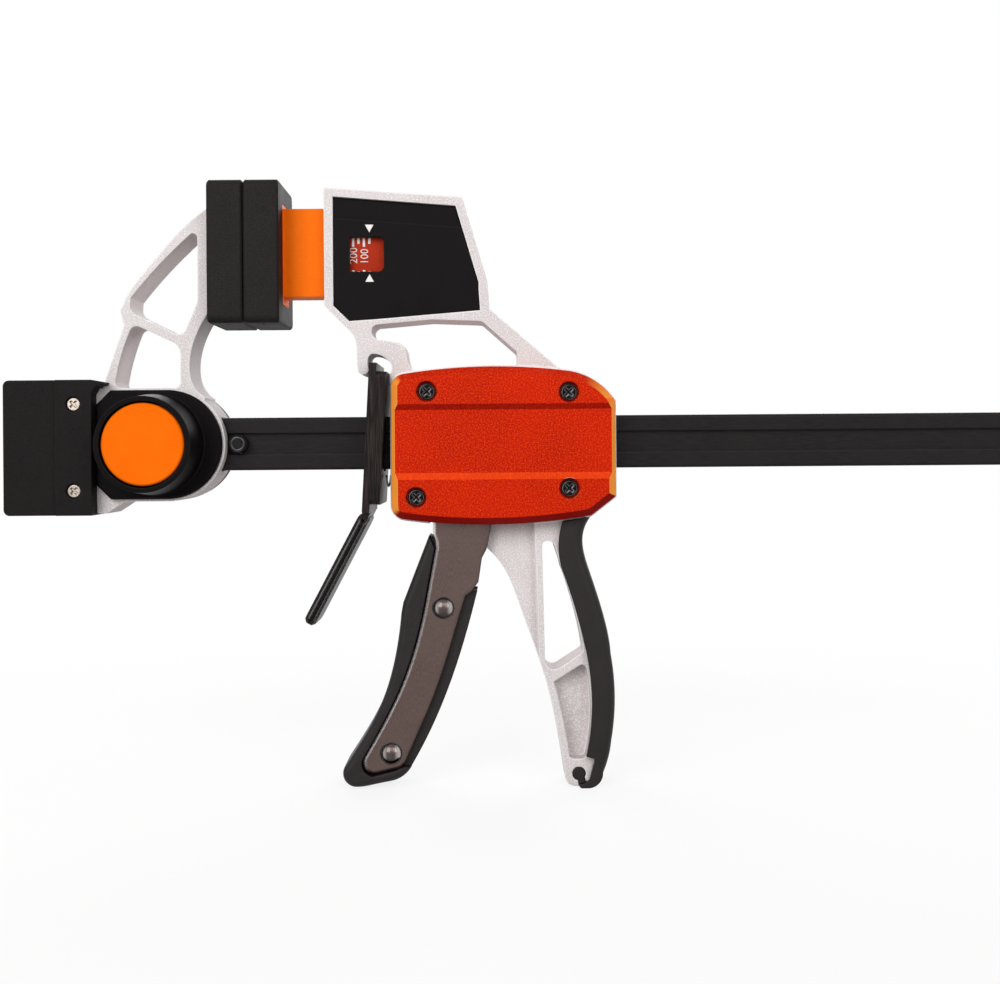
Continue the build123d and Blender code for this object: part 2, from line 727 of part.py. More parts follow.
# Covers with bevelled edges, a sunken band and counterbores for the screws
with BuildPart() as front_cover:
    with BuildSketch(XZ.offset(body_half)):
        add(cover_outline())
    extrude(amount=cover_thick)
    chamfer(front_cover.faces().sort_by(Axis.Y)[0].edges(), cover_bevel)
    band_floor = cover_face - band_depth
    with BuildSketch(Plane.YZ.offset(cover_left - 1)):
        with BuildLine():
            Polyline((-cover_face - 1, -14.6), (-band_floor, -10.2), (-band_floor, 10.9))
            Polyline((-band_floor, 10.9), (-cover_face - 1, 14.6), (-cover_face - 1, -14.6))
        make_face()
    extrude(amount=cover_length + 2, mode=Mode.SUBTRACT)
    with BuildSketch(XZ.offset(cover_face)):
        with Locations(cover_screws):
            Circle(screw_bore - 0.4)
    extrude(amount=-screw_sink, mode=Mode.SUBTRACT)
    with BuildSketch(XZ.offset(cover_face)):
        with Locations(cover_screws):
            Circle(screw_shank + fit / 3)
    extrude(amount=-cover_thick, mode=Mode.SUBTRACT)
    # Blind hole for the trigger pin and room for the drive spring
    with BuildSketch(XZ.offset(body_half)):
        with Locations(trigger_pivot):
            Circle(pivot_radius + fit / 3)
    extrude(amount=3.0, mode=Mode.SUBTRACT)
    with BuildSketch(Plane.YZ.offset(drive_x + 1)):
        Circle(11.9)
    extrude(amount=guide_right_x - drive_x - 1, mode=Mode.SUBTRACT)

with BuildPart() as back_cover:
    mirror(front_cover.part, about=XZ)

screw_seat = cover_face - screw_sink
with BuildPart() as cover_screws_front:
    add(cross_screw(screw_seat + 1.8, screw_head, 1.8, screw_shank, screw_seat - 1.0, cover_screws))

with BuildPart() as cover_screws_back:
    mirror(cover_screws_front.part, about=XZ)

# Rear grip: a channel round the handle's back edge, held by a bulb in the socket
with BuildPart() as rear_grip:
    with BuildSketch(XZ) as grip_profile:
        with BuildLine():
            Spline((115.9, -25.6), (113.2, -33.0), (115.4, -43.6), (120.9, -62.0), (122.5, -72.0))
            ThreePointArc((122.5, -72.0), (123.8, -87.0), (122.5, -101.5))
            ThreePointArc((122.5, -101.5), (121.3, -107.8), (119.1, -113.6))
            ThreePointArc((119.1, -113.6), (117.2, -116.1), (114.2, rear_foot_z))
            Line((114.2, rear_foot_z), (112.6, rear_foot_z))
            ThreePointArc((112.6, rear_foot_z), (111.7, rear_foot_z + 0.25), (111.3, rear_foot_z + 0.9))
            Polyline((111.3, rear_foot_z + 0.9), (112.2, -115.6), (114.9, -114.7), (117.1, -107.1), (113.9, -106.4))
            ThreePointArc((113.9, -106.4), (115.9, -88.6), (113.4, -68.2))
            ThreePointArc((113.4, -68.2), (110.2, -55.6), (106.0, -43.0))
            ThreePointArc((106.0, -43.0), (105.0, -34.5), (107.0, -25.4))
            Line((107.0, -25.4), (115.9, -25.6))
        make_face()
    extrude(amount=grip_thick / 2, both=True)
    long_edges = [e for e in rear_grip.faces().filter_by(Axis.Y).edges() if e.length > grip_thick / 2]
    fillet(ShapeList(long_edges).sort_by(Axis.X)[-6:], grip_round)
    with BuildSketch(XZ):
        add(cover_outline())
        offset(amount=cover_rim)
    extrude(amount=body_thick, both=True, mode=Mode.SUBTRACT)
    with BuildSketch(XZ):
        add(handle_outline())
    extrude(amount=handle_thick / 2, both=True, mode=Mode.SUBTRACT)
    with BuildSketch(XZ):
        with Locations((111.4, -112.6)):
            Circle(2.25)
        with BuildLine():
            neck_low = rear_foot_z + 0.2
            Polyline((111.2, -113.0), (113.0, -112.8), (113.9, neck_low), (111.2, neck_low), (111.2, -113.0))
        make_face()
    extrude(amount=handle_thick / 2, both=True)

# Indicator housing: two mirrored shells that fill the jaw frame, with a window over the scale
with BuildPart() as housing_front:
    with BuildSketch(XZ):
        with BuildLine():
            Polyline(*inner_frame, inner_frame[0])
        make_face()
        offset(amount=-fit, kind=Kind.INTERSECTION)
    extrude(amount=housing_depth / 2)
    housing_skin = housing_depth / 2 - housing_wall
    with BuildSketch(XZ):
        with BuildLine():
            Polyline(*inner_frame, inner_frame[0])
        make_face()
        offset(amount=-fit - housing_wall, kind=Kind.INTERSECTION)
        with Locations((abutment_x + housing_wall / 2, plunger_mid)):
            Rectangle(housing_wall, 60, mode=Mode.SUBTRACT)
    extrude(amount=housing_skin, mode=Mode.SUBTRACT)
    # Mouth for the plunger
    with BuildSketch(Plane.YZ.offset(frame_left)):
        with Locations((0, plunger_mid)):
            Rectangle(plunger_thick + 2 * running_gap, plunger_height + 2 * running_gap)
    extrude(amount=frame_wall + housing_wall + 1, mode=Mode.SUBTRACT)
    # Raised face under the ridge line, and the scale window
    with BuildSketch(XZ.offset(housing_depth / 2)) as window:
        with Locations((40.7, 64.0)):
            Rectangle(11.6, 11.8)
        fillet(window.vertices().group_by(Axis.X)[-1], 2.0)
    extrude(amount=-2 * housing_wall, mode=Mode.SUBTRACT)
    with BuildSketch(XZ.offset(housing_depth / 2)):
        with BuildLine():
            Polyline((28, 90), (28, 76.4), (75, 72.6), (75, 90), (28, 90))
        make_face()
    extrude(amount=-0.6, mode=Mode.SUBTRACT)

with BuildPart() as housing_back:
    mirror(housing_front.part, about=XZ)

# Plunger: head in the moving pad, block through the frame wall, carriage behind the windows
block_end = frame_left + 4.0
scale_height = carriage_height - 3.0
scale_depth = 0.6
scale_start = frame_left + running_gap
scale_length = scale_end - scale_start
scale_x = (scale_start + scale_end) / 2
with BuildPart() as plunger:
    with BuildSketch(XZ) as plunger_profile:
        with Locations(((pad_thick + block_end) / 2, plunger_mid)):
            Rectangle(block_end - pad_thick, plunger_height)
        with Locations(((pad_thick + carriage_end) / 2, plunger_mid)):
            Rectangle(carriage_end - pad_thick, carriage_height)
        fillet(plunger_profile.vertices().group_by(Axis.X)[-1], 1.0)
    extrude(amount=plunger_thick / 2, both=True)
    with BuildSketch(Plane.YZ.offset(pad_thick)):
        with Locations((0, pad_mid)):
            Rectangle(plunger_thick + 2, pad_height - 14)
    extrude(amount=-(pad_rail - fit))
    # Seats for the two springs in the end of the carriage
    with BuildSketch(Plane.YZ.offset(carriage_end)):
        with Locations((0, plunger_mid + spring_spread), (0, plunger_mid - spring_spread)):
            Circle(spring_radius + spring_wire + running_gap)
    extrude(amount=-spring_seat, mode=Mode.SUBTRACT)
    # Flat lands for the scale plates
    for side in (1, -1):
        with BuildSketch(XZ.offset(side * (plunger_thick / 2 - scale_depth))):
            with Locations((scale_x, plunger_mid)):
                Rectangle(scale_length, scale_height)
        extrude(amount=side * 2, mode=Mode.SUBTRACT)

with BuildPart() as scale_plate_front:
    with BuildSketch(XZ.offset(plunger_thick / 2 - scale_depth)):
        with Locations((scale_x, plunger_mid)):
            Rectangle(scale_length - 2 * fit, scale_height - 2 * fit)
    extrude(amount=scale_depth)

with BuildPart() as scale_plate_back:
    mirror(scale_plate_front.part, about=XZ)

spring_start = carriage_end - spring_seat + 0.1
spring_length = abutment_x - spring_start - 0.1
with BuildPart() as indicator_spring_lower:
    add(coil((spring_start, 0, plunger_mid - spring_spread), (1, 0, 0), spring_length, spring_radius, spring_wire, 4))
with BuildPart() as indicator_spring_upper:
    add(coil((spring_start, 0, plunger_mid + spring_spread), (1, 0, 0), spring_length, spring_radius, spring_wire, 4))

# Bar guides just inside the end walls
with BuildPart() as front_guide:
    with BuildSketch(Plane.YZ.offset(guide_left_x)):
        Rectangle(body_thick - 2 * fit, 2 * guide_half)
        Rectangle(*slide_slot, mode=Mode.SUBTRACT)
    extrude(amount=guide_length)

with BuildPart() as rear_guide:
    with BuildSketch(Plane.YZ.offset(guide_right_x)):
        Rectangle(body_thick - 2 * fit, 2 * guide_half)
        Rectangle(*slide_slot, mode=Mode.SUBTRACT)
    extrude(amount=guide_length)

# Drive plates and the spring that sends them and the trigger back
drive_plates = {}
for index in range(drive_plate_count):
    with BuildPart() as drive_plate:
        with BuildSketch(Plane.YZ.offset(drive_x + index * drive_plate_thick)):
            RectangleRounded(drive_plate_width, 2 * drive_plate_half, 1.5)
            Rectangle(*slide_slot, mode=Mode.SUBTRACT)
        extrude(amount=drive_plate_thick - stack_gap)
    drive_plates[f"drive_plate_{index + 1}"] = drive_plate

with BuildPart() as drive_spring:
    drive_spring_length = guide_right_x - drive_x_end - 0.2
    add(coil((drive_x_end + 0.1, 0, 0), (1, 0, 0), drive_spring_length, 10.5, 0.7, 4))

# Release lever with the laminated brake plates behind it: all lean away from the body by lever_tilt
lever_plane = Plane(
    origin=(lever_pivot[0], 0, lever_pivot[1]), x_dir=(0, 1, 0), z_dir=(1, 0, 0)
).rotated((0, lever_tilt, 0))
bar_drop = -lever_pivot[1]
plate_slot = (bar_thick + 0.6, bar_height + 0.9)
lever_top = 1.9
lever_bottom = bar_drop + brake_bottom - 2.8
bend = lever_plane.offset(lever_thick / 2).from_local_coords(Vector(0, lever_bottom, 0))
tail_plane = Plane(origin=bend, x_dir=(0, 1, 0), z_dir=(1, 0, 0)).rotated((0, sleeve_angle, 0))
with BuildPart() as release_lever:
    with BuildSketch(lever_plane):
        with Locations((0, (lever_top + lever_bottom) / 2)):
            Rectangle(lever_width, lever_top - lever_bottom)
        with Locations((0, bar_drop)):
            Rectangle(*plate_slot, mode=Mode.SUBTRACT)
    extrude(amount=lever_thick)
    with BuildSketch(tail_plane.offset(-lever_thick / 2)):
        with Locations((0, -sleeve_length / 2)):
            Rectangle(tail_width, sleeve_length)
    extrude(amount=lever_thick)
    with BuildSketch(XZ.offset(-tail_width / 2)):
        with Locations((bend.X, bend.Z)):
            Circle(lever_thick / 2)
    extrude(amount=tail_width)

with BuildPart() as lever_sleeve:
    sleeve_half = lever_thick / 2 + sleeve_wall
    with BuildSketch(tail_plane.offset(-sleeve_half)) as sleeve_profile:
        with Locations((0, -sleeve_length / 2 - 1.0)):
            RectangleRounded(tail_width + 2 * sleeve_wall, sleeve_length, 4.0)
    extrude(amount=2 * sleeve_half)
    wide_faces = lever_sleeve.faces().sort_by(SortBy.AREA)[-2:]
    chamfer(wide_faces.edges(), sleeve_edge)
    add(release_lever.part, mode=Mode.SUBTRACT)

brake_plates = {}
for index in range(brake_count):
    with BuildPart() as brake_plate:
        with BuildSketch(lever_plane.offset(lever_thick + index * brake_thick + stack_gap)):
            with Locations((0, bar_drop + (brake_top + brake_bottom) / 2)):
                RectangleRounded(lever_width, brake_top - brake_bottom, 2.0)
            with Locations((0, bar_drop)):
                Rectangle(*plate_slot, mode=Mode.SUBTRACT)
        extrude(amount=brake_thick - stack_gap)
    brake_plates[f"brake_plate_{index + 1}"] = brake_plate

stack_thick = lever_thick + brake_count * brake_thick
stack_back = lever_plane.offset(stack_thick).from_local_coords(Vector(0, brake_spring_z - lever_pivot[1], 0))
pocket_end = body_left + body_wall - 0.6
with BuildPart() as brake_spring:
    brake_start = stack_back.X + 0.4
    add(coil((brake_start, 0, brake_spring_z), (1, 0, 0), pocket_end - brake_start - 0.1, 1.9, 0.35, 3))

# Trigger: two steel plates, the moulded grip between and around them, rivets and the pivot pin
with BuildPart() as trigger_plate_front:
    with BuildSketch(XZ.offset(plate_inner)):
        add(trigger_plate_outline())
    extrude(amount=plate_thick)
    with BuildSketch(XZ.offset(plate_inner)):
        with Locations(trigger_pivot):
            Circle(pivot_radius + fit / 3)
        with Locations(rivets):
            Circle(rivet_shank + 0.02)
    extrude(amount=plate_thick, mode=Mode.SUBTRACT)

with BuildPart() as trigger_plate_back:
    mirror(trigger_plate_front.part, about=XZ)

with BuildLine() as finger_side:
    grip_front_edge()
finger_points = [edge @ 0.5 for edge in finger_side.edges()]


def on_finger_side(edge):
    """Whether an edge of the grip's flare lies on its finger side or its foot."""
    middle = edge @ 0.5
    return any(abs(middle.X - point.X) + abs(middle.Z - point.Y) < 0.01 for point in finger_points)


with BuildPart() as trigger_grip:
    with BuildSketch(XZ):
        add(trigger_flare_outline())
    extrude(amount=trigger_grip_thick / 2, both=True)
    fillet([edge for edge in trigger_grip.edges() if on_finger_side(edge)], grip_edge)
    with BuildSketch(XZ):
        add(trigger_grip_outline())
    extrude(amount=plate_inner, both=True)
    with BuildSketch(XZ):
        with Locations(rivets):
            Circle(rivet_shank + 0.02)
    extrude(amount=plate_inner, both=True, mode=Mode.SUBTRACT)
    # Channel that takes the handle's web at the end of the squeeze
    with BuildSketch(XZ):
        channel = [swung_web_point(x, z) for x, z in web_front_edge[:4]]
        with BuildLine():
            Polyline((channel[0][0], -20.0), *channel, (95.0, channel[-1][1]), (95.0, -20.0), close=True)
        make_face()
    extrude(amount=web_thick / 2 + 2 * running_gap, both=True, mode=Mode.SUBTRACT)

with BuildPart() as trigger_rivets:
    with BuildSketch(XZ.offset(-plate_outer)):
        with Locations(rivets):
            Circle(rivet_shank)
    extrude(amount=2 * plate_outer)
    for x, z in rivets:
        for side in (1, -1):
            with BuildSketch(Plane(origin=(x, side * plate_outer, z), x_dir=(1, 0, 0), z_dir=(0, 0, side))):
                with BuildLine():
                    ThreePointArc((0, rivet_dome), (rivet_head * 0.7, rivet_dome * 0.55), (rivet_head, 0))
                    Polyline((rivet_head, 0), (0, 0), (0, rivet_dome))
                make_face()
            revolve(axis=Axis((x, 0, z), (0, 1, 0)))

with BuildPart() as trigger_pin:
    with BuildSketch(XZ.offset(-body_half - 2.8)):
        with Locations(trigger_pivot):
            Circle(pivot_radius)
    extrude(amount=2 * (body_half + 2.8))

pieces = {
    "bar": bar,
    "stop_pins": stop_pins,
    "fixed_jaw_casting": fixed_jaw_casting,
    "hub_cap_front": hub_cap_front,
    "hub_cap_back": hub_cap_back,
    "push_button": push_button,
    "lock_pin": lock_pin,
    "button_spring": button_spring,
    "coupler_block": coupler_block,
    "coupler_screws": coupler_screws,
    "fixed_pad": fixed_pad,
    "moving_pad": moving_pad,
    "body_casting": body_casting,
    "front_cover": front_cover,
    "back_cover": back_cover,
    "cover_screws_front": cover_screws_front,
    "cover_screws_back": cover_screws_back,
    "rear_grip": rear_grip,
    "housing_front": housing_front,
    "housing_back": housing_back,
    "plunger": plunger,
    "scale_plate_front": scale_plate_front,
    "scale_plate_back": scale_plate_back,
    "indicator_spring_lower": indicator_spring_lower,
    "indicator_spring_upper": indicator_spring_upper,
    "front_guide": front_guide,
    "rear_guide": rear_guide,
    **drive_plates,
    "drive_spring": drive_spring,
    "brake_spring": brake_spring,
    "release_lever": release_lever,
    "lever_sleeve": lever_sleeve,
    **brake_plates,
    "trigger_plate_front": trigger_plate_front,
    "trigger_plate_back": trigger_plate_back,
    "trigger_grip": trigger_grip,
    "trigger_rivets": trigger_rivets,
    "trigger_pin": trigger_pin,
}

os.makedirs("parts", exist_ok=True)
for name, piece in pieces.items():
    piece.part.label = name
    export_step(piece.part, f"parts/{name}.step")
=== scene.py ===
import math

import bmesh
import bpy
from mathutils import Matrix, Vector


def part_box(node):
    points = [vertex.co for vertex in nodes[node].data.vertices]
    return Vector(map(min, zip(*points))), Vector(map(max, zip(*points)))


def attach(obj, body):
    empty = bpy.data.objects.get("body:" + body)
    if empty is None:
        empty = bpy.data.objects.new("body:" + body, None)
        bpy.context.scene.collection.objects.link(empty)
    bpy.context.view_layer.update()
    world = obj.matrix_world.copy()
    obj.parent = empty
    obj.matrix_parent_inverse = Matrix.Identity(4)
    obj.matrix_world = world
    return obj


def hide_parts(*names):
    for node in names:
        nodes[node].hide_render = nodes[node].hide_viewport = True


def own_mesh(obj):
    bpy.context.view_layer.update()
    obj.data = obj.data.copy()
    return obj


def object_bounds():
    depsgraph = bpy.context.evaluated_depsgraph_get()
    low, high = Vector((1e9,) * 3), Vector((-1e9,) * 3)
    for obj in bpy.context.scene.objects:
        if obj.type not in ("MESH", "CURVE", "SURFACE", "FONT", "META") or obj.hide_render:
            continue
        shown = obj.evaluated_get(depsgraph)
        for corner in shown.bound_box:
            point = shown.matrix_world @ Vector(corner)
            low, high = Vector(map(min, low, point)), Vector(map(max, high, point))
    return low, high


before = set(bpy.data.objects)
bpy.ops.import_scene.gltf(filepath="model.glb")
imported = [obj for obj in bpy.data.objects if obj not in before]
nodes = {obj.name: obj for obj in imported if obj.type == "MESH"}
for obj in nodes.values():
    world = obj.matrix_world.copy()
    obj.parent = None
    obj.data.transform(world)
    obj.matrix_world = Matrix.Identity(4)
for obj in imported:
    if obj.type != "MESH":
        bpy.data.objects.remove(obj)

scene = bpy.context.scene
cadBox = [list(corner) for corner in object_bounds()]
mm = 0.001
weldDistance = 0.002 * mm


# Small helpers for node trees, shader and geometry alike

def feed(tree, socket, value):
    if isinstance(value, bpy.types.NodeSocket):
        tree.links.new(value, socket)
    else:
        socket.default_value = value


def newNode(tree, kind, inputs, settings):
    node = tree.nodes.new(kind)
    for key, value in settings.items():
        setattr(node, key, value)
    for key, value in (inputs or {}).items():
        feed(tree, node.inputs[key], value)
    return node


def addNode(tree, kind, inputs=None, **settings):
    return newNode(tree, "ShaderNode" + kind, inputs, settings)


def geoNode(tree, kind, inputs=None):
    return newNode(tree, "GeometryNode" + kind, inputs, {}).outputs[0]


def mathNode(tree, operation, first, second=0.0, clamp=False):
    node = addNode(tree, "Math", {0: first, 1: second}, operation=operation, use_clamp=clamp)
    return node.outputs[0]


def vectorNode(tree, operation, first, second, output="Vector"):
    node = addNode(tree, "VectorMath", {0: first, 1: second}, operation=operation)
    return node.outputs[output]


def joinAxes(tree, x=0.0, y=0.0, z=0.0):
    return addNode(tree, "CombineXYZ", {0: x, 1: y, 2: z}).outputs[0]


def mixColour(tree, share, first, second):
    return addNode(tree, "Mix", {0: share, 6: first, 7: second}, data_type="RGBA").outputs[2]


def remap(tree, value, low, high, newLow=0.0, newHigh=1.0):
    node = addNode(tree, "MapRange", {0: value, 1: low, 2: high, 3: newLow, 4: newHigh}, clamp=True)
    return node.outputs[0]


def newTree(name, kind, inputs, outputs):
    tree = bpy.data.node_groups.new(name, kind)
    face = tree.interface
    for label, value, socketKind in inputs:
        socket = face.new_socket(name=label, in_out="INPUT", socket_type="NodeSocket" + socketKind)
        if value is not None:
            socket.default_value = value
    for label, socketKind in outputs:
        face.new_socket(name=label, in_out="OUTPUT", socket_type="NodeSocket" + socketKind)
    return tree, tree.nodes.new("NodeGroupInput").outputs, tree.nodes.new("NodeGroupOutput").inputs


def placeGroup(tree, group, inputs=None):
    return addNode(tree, "Group", inputs, node_tree=group).outputs


# Grain: a fine noise and broad patches, both in the piece's own place

grainSpec = {"fineDetail": 2.0, "fineRoughness": 0.6, "patchDetail": 3.0, "patchRoughness": 0.55}


def buildGrain():
    tree, given, made = newTree("grain", "ShaderNodeTree", [
        ("Stretch", (1.0, 1.0, 1.0), "Vector"), ("Size", 0.4, "Float"), ("Patch Size", 20.0, "Float"),
    ], [("Grain", "Float"), ("Patch", "Float")])
    place = addNode(tree, "TexCoord").outputs["Object"]
    fine = addNode(tree, "TexNoise", {
        "Vector": vectorNode(tree, "MULTIPLY", place, given["Stretch"]),
        "Scale": mathNode(tree, "DIVIDE", 1.0 / mm, given["Size"]),
        "Detail": grainSpec["fineDetail"], "Roughness": grainSpec["fineRoughness"],
    })
    patch = addNode(tree, "TexNoise", {
        "Vector": place, "Scale": mathNode(tree, "DIVIDE", 1.0 / mm, given["Patch Size"]),
        "Detail": grainSpec["patchDetail"], "Roughness": grainSpec["patchRoughness"],
    })
    tree.links.new(fine.outputs[0], made["Grain"])
    tree.links.new(patch.outputs[0], made["Patch"])
    return tree


# Edge: how far the surface turns near an edge, and which edges turn towards the light, where some
# finishes paint a highlight

edgeSpec = {"samples": 8, "litRange": (0.06, 0.26)}


def buildEdge():
    tree, given, made = newTree("edge", "ShaderNodeTree", [
        ("Radius", 0.5, "Float"), ("Gain", 3.0, "Float"), ("Towards", (-0.9, -0.2, 0.4), "Vector"),
    ], [("Edge", "Float"), ("Lit", "Float"), ("Rounded", "Vector")])
    radius = mathNode(tree, "MULTIPLY", given["Radius"], mm)
    rounded = addNode(tree, "Bevel", {"Radius": radius}, samples=edgeSpec["samples"]).outputs[0]
    flat = addNode(tree, "NewGeometry").outputs["Normal"]
    along = vectorNode(tree, "DOT_PRODUCT", rounded, flat, "Value")
    turned = mathNode(tree, "SUBTRACT", 1.0, along)
    lean = vectorNode(tree, "SUBTRACT", rounded, flat)
    facing = vectorNode(tree, "DOT_PRODUCT", lean, given["Towards"], "Value")
    tree.links.new(mathNode(tree, "MULTIPLY", turned, given["Gain"], clamp=True), made["Edge"])
    tree.links.new(remap(tree, facing, *edgeSpec["litRange"]), made["Lit"])
    tree.links.new(rounded, made["Rounded"])
    return tree


# Painted light: masks for a painted highlight on bevels that lean sideways or up within a band, and for
# painted shade on bevels that lean down and on walls through the piece

paintedLightSpec = {"wallRange": (0.25, 0.75)}


def buildPaintedLight():
    tree, given, made = newTree("paintedLight", "ShaderNodeTree", [
        ("Low", 0.30, "Float"), ("High", 0.55, "Float"), ("Turned", 0.93, "Float"),
        ("Band", 14.5, "Float"),
    ], [("Side", "Float"), ("Under", "Float"), ("Over", "Float"), ("Wall", "Float")])
    flat = addNode(tree, "NewGeometry").outputs["Normal"]
    x, y, z = addNode(tree, "SeparateXYZ", {0: flat}).outputs
    across = mathNode(tree, "ABSOLUTE", x)
    slant = remap(tree, across, given["Low"], given["High"])
    wall = remap(tree, across, given["Turned"], 1.0)
    down = mathNode(tree, "MULTIPLY", z, -1.0)
    place = addNode(tree, "TexCoord").outputs["Object"]
    level = mathNode(tree, "ABSOLUTE", addNode(tree, "SeparateXYZ", {0: place}).outputs[2])
    inside = mathNode(tree, "LESS_THAN", level, mathNode(tree, "MULTIPLY", given["Band"], mm))
    up = remap(tree, z, given["Low"], given["High"])
    through = remap(tree, mathNode(tree, "ABSOLUTE", y), *paintedLightSpec["wallRange"], 1.0, 0.0)
    tree.links.new(mathNode(tree, "SUBTRACT", slant, wall, clamp=True), made["Side"])
    tree.links.new(remap(tree, down, given["Low"], given["High"]), made["Under"])
    tree.links.new(mathNode(tree, "MULTIPLY", up, inside), made["Over"])
    tree.links.new(through, made["Wall"])
    return tree


grainGroup = buildGrain()
edgeGroup = buildEdge()
paintedLightGroup = buildPaintedLight()
print("shared effects ready")


# One finish from its dictionary. Sizes are in millimetres, colours are linear, and what a
# dictionary leaves out comes from plainLook

plainLook = {
    "stretch": (1.0, 1.0, 1.0), "patchSize": 20.0, "patchRange": (0.35, 0.65),
    "speckleRange": (0.35, 0.7), "roughRange": (0.3, 0.7), "edgeRadius": 0.4, "edgeGain": 3.0,
    "edgeShare": 0.5, "metallic": 0.0, "gloss": 0.5, "bumpDepth": 0.05,
}


def makeFinish(name, ownLook):
    look = {**plainLook, "speckle": ownLook["colour"], "edgeColour": ownLook["colour"], **ownLook}
    material = bpy.data.materials.new(name)
    material.use_nodes = True
    tree = material.node_tree
    surface = tree.nodes["Principled BSDF"].inputs
    grain = placeGroup(tree, grainGroup, {
        "Stretch": look["stretch"], "Size": look["grainSize"], "Patch Size": look["patchSize"],
    })
    edge = placeGroup(tree, edgeGroup, {"Radius": look["edgeRadius"], "Gain": look["edgeGain"]})
    patches = remap(tree, grain["Patch"], *look["patchRange"])
    speckles = remap(tree, grain["Grain"], *look["speckleRange"])
    colour = mixColour(tree, patches, look["colour"], look["shade"])
    colour = mixColour(tree, speckles, colour, look["speckle"])
    # Painted light: a highlight on sideways and up-facing bevels, shade on what faces down
    if "paintedSideHighlight" in look or "wall" in look:
        paintedLight = placeGroup(tree, paintedLightGroup)
        for mask, tint in (("Side", "paintedSideHighlight"), ("Under", "paintedUnderShade"), ("Over", "paintedUpHighlight")):
            if tint in look:
                colour = mixColour(tree, paintedLight[mask], colour, look[tint])
    # Painted shade: walls through the piece take a darker colour, with its own speckle
    if "wall" in look:
        wallShade = mixColour(tree, speckles, look["wall"], look["wallSpeckle"])
        colour = mixColour(tree, paintedLight["Wall"], colour, wallShade)
    # Edges take the edge colour: wear on some finishes, a painted highlight or painted shade on others
    edgeWearHighlightAndShade = mathNode(tree, "MULTIPLY", edge["Edge"], look["edgeShare"], clamp=True)
    colour = mixColour(tree, edgeWearHighlightAndShade, colour, look["edgeColour"])
    # Painted highlight on the edges that lean towards the light
    if "paintedHighlight" in look:
        colour = mixColour(tree, edge["Lit"], colour, look["paintedHighlight"])
    rough = remap(tree, grain["Patch"], *look["roughRange"], *look["roughness"])
    bump = addNode(tree, "Bump", {
        "Height": grain["Grain"], "Normal": edge["Rounded"],
        "Strength": look["bump"], "Distance": look["bumpDepth"] * mm,
    })
    tree.links.new(colour, surface["Base Color"])
    tree.links.new(rough, surface["Roughness"])
    tree.links.new(bump.outputs[0], surface["Normal"])
    surface["Metallic"].default_value = look["metallic"]
    surface["Specular IOR Level"].default_value = look["gloss"]
    return material


def dress(finish, *names):
    for name in names:
        slots = nodes[name].data.materials
        slots.clear()
        slots.append(finish)


# Castings: pale blasted skin, with a painted highlight along the edges and painted shade on every wall
# through the piece

castLook = {
    "colour": (0.72, 0.675, 0.665, 1), "shade": (0.655, 0.61, 0.603, 1),
    "speckle": (0.95, 0.91, 0.90, 1), "speckleRange": (0.45, 0.70),
    "wall": (0.61, 0.560, 0.558, 1), "wallSpeckle": (0.80, 0.745, 0.74, 1),
    "edgeColour": (1.0, 0.99, 0.985, 1), "edgeShare": 0.95, "edgeRadius": 0.9, "edgeGain": 7.0,
    "grainSize": 0.5, "patchSize": 14.0, "roughness": (0.5, 0.62), "gloss": 0.04, "bump": 1.0,
}
dress(makeFinish("blasted casting", castLook), "fixed_jaw_casting", "body_casting")

# Covers: flake paint, with a painted highlight on the bevels that lean to the sides and on what faces up
# in the middle band, and painted shade underneath

coverLook = {
    "colour": (0.55, 0.0095, 0.0010, 1), "shade": (0.45, 0.0068, 0.0008, 1),
    "speckle": (0.84, 0.062, 0.004, 1), "speckleRange": (0.44, 0.74),
    "paintedSideHighlight": (1.0, 0.345, 0.050, 1), "paintedUnderShade": (0.26, 0.0030, 0.0006, 1),
    "paintedUpHighlight": (0.92, 0.082, 0.006, 1),
    "edgeColour": (0.22, 0.014, 0.002, 1), "edgeShare": 0.55, "edgeRadius": 0.6, "edgeGain": 4.0,
    "grainSize": 0.5, "patchSize": 25.0, "roughness": (0.36, 0.46), "metallic": 0.1, "gloss": 0.05,
    "bump": 0.25,
}
dress(makeFinish("orange cover paint", coverLook), "front_cover", "back_cover")

# Bar: black oxide with a grain drawn along its length

barLook = {
    "colour": (0.0075, 0.0063, 0.0065, 1), "shade": (0.0125, 0.0107, 0.0109, 1),
    "speckle": (0.0165, 0.0143, 0.0145, 1), "stretch": (0.08, 1.0, 1.0),
    "edgeColour": (0.050, 0.045, 0.045, 1), "grainSize": 0.35, "patchSize": 30.0,
    "roughness": (0.42, 0.55), "gloss": 0.1, "bump": 0.2,
}
dress(makeFinish("black bar oxide", barLook), "bar", "stop_pins")

# Moulded black plastics: housing, hub caps and coupler differ only in their depth of black

# Their lighter edges are a painted highlight
plasticLook = {
    "colour": (0.0048, 0.0040, 0.0042, 1), "shade": (0.0080, 0.0068, 0.0070, 1),
    "speckle": (0.0110, 0.0094, 0.0096, 1), "edgeColour": (0.045, 0.040, 0.040, 1), "edgeRadius": 0.7,
    "grainSize": 0.30, "roughness": (0.40, 0.52), "gloss": 0.035, "bump": 0.35,
}
capLook = {
    **plasticLook, "colour": (0.0026, 0.0021, 0.0022, 1), "shade": (0.0046, 0.0038, 0.0040, 1),
    "speckle": (0.0075, 0.0062, 0.0065, 1),
}
couplerLook = {
    **plasticLook, "colour": (0.0085, 0.0073, 0.0075, 1), "shade": (0.0125, 0.0108, 0.0110, 1),
    "speckle": (0.0190, 0.0163, 0.0166, 1),
}
dress(makeFinish("black housing plastic", plasticLook), "housing_front", "housing_back")
dress(makeFinish("black cap plastic", capLook), "hub_cap_front", "hub_cap_back")
dress(makeFinish("black coupler plastic", couplerLook), "coupler_block")
